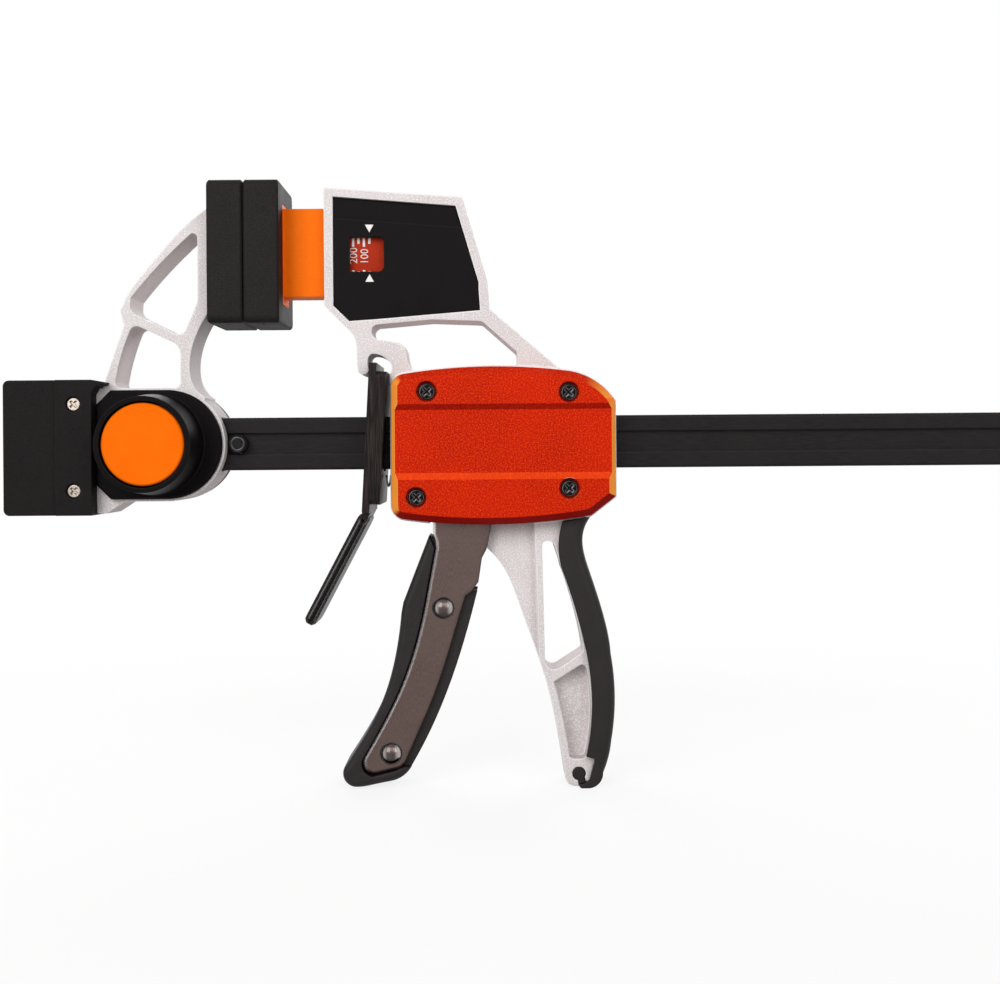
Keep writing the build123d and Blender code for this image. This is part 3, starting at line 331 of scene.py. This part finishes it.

# Rubber: soft grips in the hand, harder and duller pads on the jaws

# The grips' walls and rounded sides carry painted shade
gripLook = {
    "colour": (0.0165, 0.0136, 0.0140, 1), "shade": (0.0215, 0.0180, 0.0184, 1),
    "speckle": (0.0310, 0.0262, 0.0268, 1),
    "wall": (0.0060, 0.0050, 0.0052, 1), "wallSpeckle": (0.0120, 0.0100, 0.0104, 1), "edgeRadius": 0.9,
    "grainSize": 0.22, "patchSize": 9.0, "roughness": (0.36, 0.50), "gloss": 0.14, "bump": 0.3,
}
dress(makeFinish("soft grip", gripLook), "rear_grip", "trigger_grip")
# The pads' edges take a darker colour: painted shade
padLook = {
    "colour": (0.0048, 0.0040, 0.0041, 1), "shade": (0.0085, 0.0072, 0.0072, 1),
    "speckle": (0.0230, 0.0195, 0.0192, 1), "edgeColour": (0.003, 0.003, 0.003, 1), "edgeRadius": 0.7,
    "grainSize": 0.35, "patchSize": 12.0, "roughness": (0.55, 0.68), "gloss": 0.1, "bump": 0.5,
}
dress(makeFinish("pad rubber", padLook), "fixed_pad", "moving_pad")

# Orange plastics and the red scale

buttonLook = {
    "colour": (0.97, 0.158, 0.001, 1), "shade": (0.93, 0.140, 0.001, 1),
    "speckle": (1.0, 0.180, 0.002, 1), "edgeColour": (0.55, 0.050, 0.001, 1), "edgeShare": 0.7,
    "grainSize": 0.3, "patchSize": 8.0, "roughness": (0.5, 0.6), "gloss": 0.03, "bump": 0.15,
}
dress(makeFinish("orange button plastic", buttonLook), "push_button")
plungerLook = {
    "colour": (0.98, 0.165, 0.002, 1), "shade": (0.94, 0.148, 0.002, 1),
    "speckle": (1.0, 0.19, 0.004, 1), "edgeColour": (0.75, 0.10, 0.01, 1), "edgeShare": 0.3,
    "grainSize": 0.35, "roughness": (0.42, 0.52), "gloss": 0.05, "bump": 0.12,
}
dress(makeFinish("orange plunger plastic", plungerLook), "plunger")
scaleLook = {
    "colour": (0.42, 0.026, 0.006, 1), "shade": (0.32, 0.017, 0.004, 1),
    "speckle": (0.48, 0.038, 0.010, 1), "grainSize": 0.5, "patchSize": 8.0,
    "roughness": (0.45, 0.55), "gloss": 0.06, "bump": 0.1,
}
dress(makeFinish("red scale plate", scaleLook), "scale_plate_front", "scale_plate_back")

# Trigger plates: satin steel, with a painted highlight along the edges that turn up and to the left

plateLook = {
    "colour": (0.125, 0.083, 0.074, 1), "shade": (0.088, 0.059, 0.053, 1),
    "speckle": (0.140, 0.100, 0.091, 1), "stretch": (1.0, 1.0, 0.2),
    "edgeColour": (0.045, 0.032, 0.029, 1), "edgeRadius": 1.7, "paintedHighlight": (0.97, 0.93, 0.90, 1),
    "grainSize": 0.25, "patchSize": 9.0, "roughness": (0.24, 0.4), "metallic": 0.8, "gloss": 0.3,
    "bump": 0.05,
}
dress(makeFinish("satin trigger steel", plateLook), "trigger_plate_front", "trigger_plate_back")

# Lever and clutch plates: oiled steel sheared across its length, and the lever's dipped sleeve with a
# painted highlight on the edges that lean towards the light

leverLook = {
    "colour": (0.0110, 0.0080, 0.0076, 1), "shade": (0.0055, 0.0042, 0.0040, 1),
    "speckle": (0.040, 0.030, 0.027, 1), "speckleRange": (0.42, 0.75), "stretch": (1.0, 1.0, 0.035),
    "edgeColour": (0.070, 0.056, 0.051, 1), "grainSize": 0.35, "roughness": (0.32, 0.46),
    "metallic": 0.4, "gloss": 0.12, "bump": 0.4,
}
dress(makeFinish("oiled brake steel", leverLook), "release_lever", "brake_plate_1", "brake_plate_2",
      "brake_plate_3", "drive_plate_1", "drive_plate_2", "drive_plate_3")
sleeveLook = {
    "colour": (0.0050, 0.0042, 0.0044, 1), "shade": (0.0075, 0.0064, 0.0066, 1),
    "edgeColour": (0.012, 0.010, 0.010, 1), "edgeRadius": 1.3, "paintedHighlight": (0.20, 0.18, 0.18, 1),
    "grainSize": 0.8, "roughness": (0.28, 0.36), "gloss": 0.06, "bump": 0.08,
}
dress(makeFinish("dipped lever sleeve", sleeveLook), "lever_sleeve")

# Pins, rivets, screws and springs

# Rivets and pins: a painted reflection lightens what leans to the sides, and painted shade darkens what
# faces down
brightLook = {
    "colour": (0.105, 0.083, 0.079, 1), "shade": (0.070, 0.054, 0.051, 1),
    "paintedSideHighlight": (0.42, 0.385, 0.375, 1), "paintedUnderShade": (0.055, 0.042, 0.040, 1), "edgeRadius": 0.45,
    "grainSize": 0.6, "patchSize": 2.5, "roughness": (0.16, 0.28), "metallic": 1.0, "bump": 0.05,
}
dress(makeFinish("bright steel", brightLook), "trigger_rivets", "lock_pin", "trigger_pin")
zincLook = {
    "colour": (0.40, 0.345, 0.295, 1), "shade": (0.30, 0.255, 0.215, 1),
    "edgeColour": (0.10, 0.085, 0.07, 1), "edgeShare": 0.8, "edgeRadius": 0.35, "edgeGain": 6.0,
    "grainSize": 0.5, "patchSize": 3.0, "roughness": (0.25, 0.38), "metallic": 0.9, "bump": 0.08,
}
dress(makeFinish("zinc screws", zincLook), "coupler_screws")
# Cover screws: a painted highlight on the edges of the head and cross, brightest where they lean towards
# the light
screwLook = {
    "colour": (0.0030, 0.0030, 0.0033, 1), "shade": (0.0020, 0.0020, 0.0022, 1),
    "edgeColour": (0.16, 0.156, 0.160, 1), "edgeShare": 0.95, "edgeRadius": 0.5, "edgeGain": 8.0,
    "paintedHighlight": (0.30, 0.29, 0.30, 1), "grainSize": 0.4, "roughness": (0.26, 0.38), "gloss": 0.06,
    "bump": 0.15,
}
dress(makeFinish("black screw oxide", screwLook), "cover_screws_front", "cover_screws_back")
springLook = {
    "colour": (0.50, 0.49, 0.48, 1), "shade": (0.40, 0.39, 0.38, 1), "grainSize": 0.3,
    "roughness": (0.25, 0.35), "metallic": 1.0, "bump": 0.1,
}
dress(makeFinish("spring wire", springLook), "button_spring", "drive_spring", "brake_spring",
      "indicator_spring_lower", "indicator_spring_upper")

# Bar guides, and the finishes of the small pieces that follow

guideLook = {
    "colour": (0.030, 0.028, 0.028, 1), "shade": (0.022, 0.021, 0.021, 1), "grainSize": 0.4,
    "roughness": (0.5, 0.6), "gloss": 0.12, "bump": 0.2,
}
dress(makeFinish("guide nylon", guideLook), "front_guide", "rear_guide")
markLook = {
    "colour": (0.92, 0.89, 0.87, 1), "shade": (0.86, 0.82, 0.80, 1), "grainSize": 0.3,
    "roughness": (0.5, 0.6), "gloss": 0.15, "bump": 0.06,
}
wellHighlightLook = {
    "colour": (0.95, 0.30, 0.18, 1), "shade": (0.80, 0.16, 0.09, 1), "grainSize": 0.3, "patchSize": 2.0,
    "roughness": (0.25, 0.35), "metallic": 0.4, "bump": 0.05,
}
rimAndShadowLook = {
    "colour": (0.006, 0.005, 0.005, 1), "shade": (0.010, 0.009, 0.009, 1),
    "edgeColour": (0.03, 0.027, 0.027, 1), "grainSize": 0.3, "patchSize": 2.0,
    "roughness": (0.2, 0.3), "bump": 0.05,
}
markWhite = makeFinish("white marking ink", markLook)
wellHighlightPaint = makeFinish("painted well rim highlight", wellHighlightLook)
rimAndShadowBlack = makeFinish("black rim and painted shadow ring", rimAndShadowLook)
print("finishes on", len(nodes), "nodes")


# Helpers for what repeats: a small geometry tree, placed once and turned into a plain mesh

def newShapeTree(name, inputs):
    return newTree(name, "GeometryNodeTree", [("Geometry", None, "Geometry"), *inputs],
                   [("Geometry", "Geometry")])


def finishTree(tree, geometry, material, made):
    real = geoNode(tree, "RealizeInstances", {0: geometry})
    done = geoNode(tree, "SetMaterial", {"Geometry": real, "Material": material})
    tree.links.new(done, made["Geometry"])


def linkObject(name, data):
    holder = bpy.data.objects.new(name, data)
    scene.collection.objects.link(holder)
    return holder


def placeTree(name, tree, values, mesh=None):
    holder = linkObject(name, mesh or bpy.data.meshes.new(name))
    modifier = holder.modifiers.new(name, "NODES")
    modifier.node_group = tree
    sockets = {item.name: item.identifier for item in tree.interface.items_tree if item.in_out == "INPUT"}
    for label, value in values.items():
        modifier[sockets[label]] = value
    return holder


def toMesh(source, name):
    graph = bpy.context.evaluated_depsgraph_get()
    mesh = bpy.data.meshes.new_from_object(source.evaluated_get(graph))
    bpy.data.objects.remove(source)
    return linkObject(name, mesh)


def joinPieces(name, pieces):
    bpy.ops.object.select_all(action="DESELECT")
    for piece in pieces:
        piece.select_set(True)
    bpy.context.view_layer.objects.active = pieces[0]
    bpy.ops.object.join()
    pieces[0].name = name
    pieces[0].data.name = name
    return pieces[0]


def turnOutwards(piece):
    form = bmesh.new()
    form.from_mesh(piece.data)
    bmesh.ops.remove_doubles(form, verts=form.verts, dist=weldDistance)
    bmesh.ops.recalc_face_normals(form, faces=form.faces)
    form.to_mesh(piece.data)
    form.free()


# Rims: a painted highlight ring at the edge of each screw well, the rolled ends of the stop pins, and a
# dark ring painted as the shadow around each rivet's edge

# The well rings: a painted highlight at the edge of each screw well
wellHighlightRings = {"radius": 3.60, "wire": 0.13, "flat": 0.5, "face": 14.93,
             "places": [(61.0, 17.0), (108.5, 16.5), (57.3, -18.3), (108.5, -15.6)]}
pinRings = {"radius": 2.15, "wire": 0.62, "flat": 0.7, "face": 5.95,
            "places": [(-3.9, 0.0), (278.1, 0.0)]}
# The rivet rings: a dark ring painted as the shadow around each rivet's edge
rivetShadowRings = {"radius": 3.58, "wire": 0.24, "flat": 0.9, "face": 8.0,
              "places": [(65.8, -56.0), (47.8, -105.1)]}
ringSteps = {"loop": 48, "wire": 8}


def circleNode(tree, steps, radius):
    return geoNode(tree, "CurvePrimitiveCircle", {"Resolution": steps, "Radius": radius})


def buildRingTree(name, material):
    tree, given, made = newShapeTree(name, [
        ("Radius", 3.5, "Float"), ("Wire", 0.15, "Float"), ("Flat", 0.6, "Float"),
    ])
    loop = circleNode(tree, ringSteps["loop"], given["Radius"])
    wire = circleNode(tree, ringSteps["wire"], given["Wire"])
    tube = geoNode(tree, "CurveToMesh", {"Curve": loop, "Profile Curve": wire})
    upright = geoNode(tree, "Transform", {"Geometry": tube, "Rotation": (math.radians(90), 0.0, 0.0)})
    centres = geoNode(tree, "MeshToPoints", {"Mesh": given["Geometry"]})
    rings = geoNode(tree, "InstanceOnPoints", {
        "Points": centres, "Instance": upright, "Scale": joinAxes(tree, 1.0, given["Flat"], 1.0),
    })
    finishTree(tree, rings, material, made)
    return tree


def buildRings(name, tree, look, side, body):
    centres = bpy.data.meshes.new(name)
    centres.from_pydata([(x * mm, side * look["face"] * mm, z * mm) for x, z in look["places"]], [], [])
    holder = placeTree(name, tree, {
        "Radius": look["radius"] * mm, "Wire": look["wire"] * mm, "Flat": look["flat"],
    }, centres)
    rings = toMesh(holder, name)
    turnOutwards(rings)
    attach(rings, body)


wellHighlightTree = buildRingTree("painted well rim highlights", wellHighlightPaint)
rimAndShadowTree = buildRingTree("black rims and painted shadow rings", rimAndShadowBlack)
for side, end in ((-1, "front"), (1, "back")):
    buildRings("well_highlight_rims_" + end, wellHighlightTree, wellHighlightRings, side, "body")
    buildRings("pin_rings_" + end, rimAndShadowTree, pinRings, side, "bar_and_jaw")
    buildRings("rivet_shadow_rims_" + end, rimAndShadowTree, rivetShadowRings, side, "trigger")
print("rims and rings placed")


# Scale: numbers, each with its place, height and length, between two rows of ticks. A row is
# its level, its long tick and its short tick

scaleMarks = {
    "thick": 0.08, "fontSize": 3.0, "fontSteps": 4, "numberMiddle": 63.9,
    "numbers": [("400", 28.4, 2.7, 5.4), ("300", 32.15, 2.7, 5.4),
                ("200", 35.9, 2.7, 5.4), ("100", 39.65, 2.7, 4.5)],
    "firstTick": 28.45, "pitch": 1.85, "count": 8, "wide": 0.85,
    "upper": (69.9, 3.0, 2.0), "lower": (57.6, 1.4, 0.9),
}


def buildTickTree():
    tree, given, made = newShapeTree("ticks", [
        ("Pitch", 1.9, "Float"), ("Count", 4, "Int"), ("Wide", 0.8, "Float"), ("Long", 3.0, "Float"),
        ("Short", 2.0, "Float"), ("Thick", 0.08, "Float"), ("Hang", -1.0, "Float"),
    ])
    row = geoNode(tree, "MeshLine", {"Count": given["Count"], "Offset": joinAxes(tree, given["Pitch"])})
    odd = mathNode(tree, "MODULO", geoNode(tree, "InputIndex"), 2.0)
    gain = mathNode(tree, "SUBTRACT", given["Short"], given["Long"])
    height = mathNode(tree, "ADD", given["Long"], mathNode(tree, "MULTIPLY", odd, gain))
    drop = mathNode(tree, "MULTIPLY", mathNode(tree, "MULTIPLY", height, 0.5), given["Hang"])
    row = geoNode(tree, "SetPosition", {"Geometry": row, "Offset": joinAxes(tree, z=drop)})
    bars = geoNode(tree, "InstanceOnPoints", {
        "Points": row, "Instance": geoNode(tree, "MeshCube", {"Size": (1.0, 1.0, 1.0)}),
        "Scale": joinAxes(tree, given["Wide"], given["Thick"], height),
    })
    finishTree(tree, bars, markWhite, made)
    return tree


def numberPiece(text, x, tall, long, face, side):
    look = scaleMarks
    curve = bpy.data.curves.new("digits", "FONT")
    curve.body = text
    curve.size = look["fontSize"] * mm
    curve.resolution_u = look["fontSteps"]
    curve.extrude = look["thick"] / 2 * mm
    digits = toMesh(linkObject("digits", curve), "digits")
    points = [vertex.co for vertex in digits.data.vertices]
    low = Vector([min(point[axis] for point in points) for axis in range(3)])
    high = Vector([max(point[axis] for point in points) for axis in range(3)])
    size = high - low
    fit = Matrix.Diagonal((long * mm / size.x, tall * mm / size.y, 1.0, 1.0))
    centre = Matrix.Translation(-(low + high) / 2)
    turn = Matrix.Rotation(math.radians(90), 4, "X") @ Matrix.Rotation(math.radians(90), 4, "Z")
    if side > 0:
        turn = Matrix.Rotation(math.radians(180), 4, "Z") @ turn
    place = Matrix.Translation((x * mm, face + side * look["thick"] / 2 * mm, look["numberMiddle"] * mm))
    digits.data.transform(place @ turn @ fit @ centre)
    turnOutwards(digits)
    digits.data.materials.clear()
    digits.data.materials.append(markWhite)
    return digits


def buildScale(side, end):
    look = scaleMarks
    low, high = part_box("scale_plate_" + end)
    face = low.y if side < 0 else high.y
    parts = [numberPiece(text, x, tall, long, face, side) for text, x, tall, long in look["numbers"]]
    for (z, long, short), hang in ((look["upper"], -1.0), (look["lower"], 1.0)):
        ticks = toMesh(placeTree("ticks", tickTree, {
            "Pitch": look["pitch"] * mm, "Count": look["count"], "Wide": look["wide"] * mm,
            "Long": long * mm, "Short": short * mm, "Thick": look["thick"] * mm, "Hang": hang,
        }), "ticks")
        place = (look["firstTick"] * mm, face + side * look["thick"] / 2 * mm, z * mm)
        ticks.data.transform(Matrix.Translation(place))
        parts.append(ticks)
    marks = joinPieces("scale_marks_" + end, parts)
    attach(marks, "indicator")


# Pointers: one triangle above the window and one below, each from its base to its tip

pointerMarks = {"thick": 0.10, "sunk": 0.02, "across": 41.65, "halfWide": 1.5,
                "upper": (74.0, 71.3), "lower": (54.6, 57.3)}
wedgeFaces = ((0, 1, 2), (3, 5, 4), (0, 3, 4, 1), (1, 4, 5, 2), (2, 5, 3, 0))


def buildPointers(side, end):
    look = pointerMarks
    low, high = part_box("housing_" + end)
    near = (low.y if side < 0 else high.y) - side * look["sunk"] * mm
    far = near + side * look["thick"] * mm
    verts, faces = [], []
    for base, apex in (look["upper"], look["lower"]):
        start = len(verts)
        outline = [(-look["halfWide"], base), (look["halfWide"], base), (0.0, apex)]
        for y in (near, far):
            verts += [((look["across"] + x) * mm, y, z * mm) for x, z in outline]
        faces += [tuple(start + index for index in face) for face in wedgeFaces]
    mesh = bpy.data.meshes.new("pointers_" + end)
    mesh.from_pydata(verts, [], faces)
    mesh.materials.append(markWhite)
    pointers = linkObject("pointers_" + end, mesh)
    turnOutwards(pointers)
    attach(pointers, "body")


tickTree = buildTickTree()
for side, end in ((-1, "front"), (1, "back")):
    buildScale(side, end)
    buildPointers(side, end)
print("scale and pointers marked")


# Springs: each spring's mesh is copied into a coil that rides its body, and the spring itself is hidden

indicatorSpring = {"body": "body", "joint": "indicator_push", "axis": (1.0, 0.0, 0.0),
                   "seat": 69.0, "travel": 12.5}
springSpecs = {
    "button_spring": {"body": "bar_and_jaw", "joint": "button_press", "axis": (0.0, 1.0, 0.0),
                      "seat": -10.5, "travel": 5.5},
    "drive_spring": {"body": "body", "joint": "trigger_squeeze", "axis": (1.0, 0.0, 0.0),
                     "seat": 114.8, "travel": 4.27},
    "brake_spring": {"body": "body", "joint": "brake_release", "axis": (1.0, 0.0, 0.0),
                     "seat": 51.3, "travel": 2.2},
    "indicator_spring_lower": indicatorSpring,
    "indicator_spring_upper": indicatorSpring,
}


def buildSpring(name, look):
    coil = linkObject(name.replace("spring", "coil"), nodes[name].data.copy())
    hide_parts(name)
    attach(coil, look["body"])
    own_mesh(coil)


for name, look in springSpecs.items():
    buildSpring(name, look)


# Floor and world: what the camera and reflections see is white, what lights the object is not

floorSpec = {
    "size": 16.0, "colour": (0.95, 0.95, 0.95, 1), "bounce": (0.50, 0.49, 0.49, 1),
    "white": (1.0, 1.0, 1.0, 1), "shadow": 0.16, "nearEdge": 0.16, "farEdge": 0.42,
}
worldSpec = {"light": (1.0, 0.94, 0.94, 1), "strength": 0.17, "white": (1.0, 1.0, 1.0, 1)}


def seenRays(tree, rays):
    seen = mathNode(tree, "MAXIMUM", rays["Is Camera Ray"], rays["Is Glossy Ray"])
    return mathNode(tree, "MAXIMUM", seen, rays["Is Transmission Ray"])


def buildFloor():
    look = floorSpec
    low, high = cadBox
    z = low[2]
    half = look["size"] / 2
    corners = [(-half, -half, z), (half, -half, z), (half, half, z), (-half, half, z)]
    mesh = bpy.data.meshes.new("floor")
    mesh.from_pydata(corners, [], [(0, 1, 2, 3)])
    floor = linkObject("floor", mesh)
    material = bpy.data.materials.new("pale floor")
    material.use_nodes = True
    tree = material.node_tree
    tree.nodes.clear()
    rays = addNode(tree, "LightPath").outputs
    pale = mixColour(tree, rays["Is Camera Ray"], look["bounce"], look["colour"])
    plain = addNode(tree, "BsdfDiffuse", {"Color": pale}).outputs[0]
    glow = addNode(tree, "Emission", {"Color": look["white"], "Strength": 1.0}).outputs[0]
    place = addNode(tree, "TexCoord").outputs["Object"]
    middle = ((low[0] + high[0]) / 2, (low[1] + high[1]) / 2, z)
    away = vectorNode(tree, "DISTANCE", place, middle, "Value")
    near = remap(tree, away, look["nearEdge"], look["farEdge"], look["shadow"], 0.0)
    share = mathNode(tree, "MULTIPLY", seenRays(tree, rays), mathNode(tree, "SUBTRACT", 1.0, near))
    mixed = addNode(tree, "MixShader", {0: share, 1: plain, 2: glow}).outputs[0]
    addNode(tree, "OutputMaterial", {"Surface": mixed})
    mesh.materials.append(material)


def buildWorld():
    look = worldSpec
    world = bpy.data.worlds.new("studio")
    scene.world = world
    world.use_nodes = True
    tree = world.node_tree
    tree.nodes.clear()
    soft = addNode(tree, "Background", {"Color": look["light"], "Strength": look["strength"]}).outputs[0]
    white = addNode(tree, "Background", {"Color": look["white"], "Strength": 1.0}).outputs[0]
    seen = seenRays(tree, addNode(tree, "LightPath").outputs)
    mixed = addNode(tree, "MixShader", {0: seen, 1: soft, 2: white}).outputs[0]
    addNode(tree, "OutputWorld", {"Surface": mixed})


# Softboxes: place and size in metres, power in watts, all turned towards lampTarget

lampTarget = (0.08, 0.0, 0.0)
lampSpecs = {
    "left softbox": ((-0.400, -0.780, 0.400), (0.5, 0.7), 5.0),
    "right softbox": ((0.620, -0.760, 0.380), (0.5, 0.7), 2.5),
    "front softbox": ((0.080, -0.900, 0.500), (0.9, 0.5), 2.4),
    "back left softbox": ((-0.400, 0.780, 0.400), (0.5, 0.7), 3.4),
    "back right softbox": ((0.620, 0.760, 0.380), (0.5, 0.7), 4.2),
    "back softbox": ((0.080, 0.900, 0.500), (0.9, 0.5), 2.6),
}


def buildLamps():
    for name, (place, size, power) in lampSpecs.items():
        lamp = bpy.data.lights.new(name, "AREA")
        lamp.shape = "RECTANGLE"
        lamp.size, lamp.size_y = size
        lamp.energy = power
        holder = linkObject(name, lamp)
        holder.location = place
        holder.rotation_mode = "QUATERNION"
        holder.rotation_quaternion = (Vector(lampTarget) - Vector(place)).to_track_quat("-Z", "Y")


# Camera: straight from the front, its place in millimetres and its optical axis in pixels

cameraSpec = {
    "standOff": 430.0, "across": 83.7, "height": -2.66, "focalPixels": 1247.0,
    "axisPixel": (495.0, 450.0), "imagePixels": (1000.0, 984.0), "rollDegrees": 0.42,
    "sensor": 36.0, "clip": (0.01, 20.0),
}


def buildCamera():
    spec = cameraSpec
    camera = bpy.data.cameras.new("camera")
    wide, tall = spec["imagePixels"]
    camera.sensor_width = spec["sensor"]
    camera.lens = spec["focalPixels"] / wide * camera.sensor_width
    camera.shift_x = (wide / 2 - spec["axisPixel"][0]) / wide
    camera.shift_y = (spec["axisPixel"][1] - tall / 2) / wide
    camera.clip_start, camera.clip_end = spec["clip"]
    holder = linkObject("camera", camera)
    roll = math.radians(spec["rollDegrees"])
    right = Vector((math.cos(roll), 0.0, -math.sin(roll)))
    up = Vector((math.sin(roll), 0.0, math.cos(roll)))
    back = Vector((0.0, -1.0, 0.0))
    turn = Matrix((right, up, back)).transposed().to_4x4()
    place = Vector((spec["across"], -spec["standOff"], spec["height"])) * mm
    holder.matrix_world = Matrix.Translation(place) @ turn
    scene.camera = holder


buildFloor()
buildWorld()
buildLamps()
buildCamera()
scene.view_settings.view_transform = "Standard"
print("stage, light and camera set")
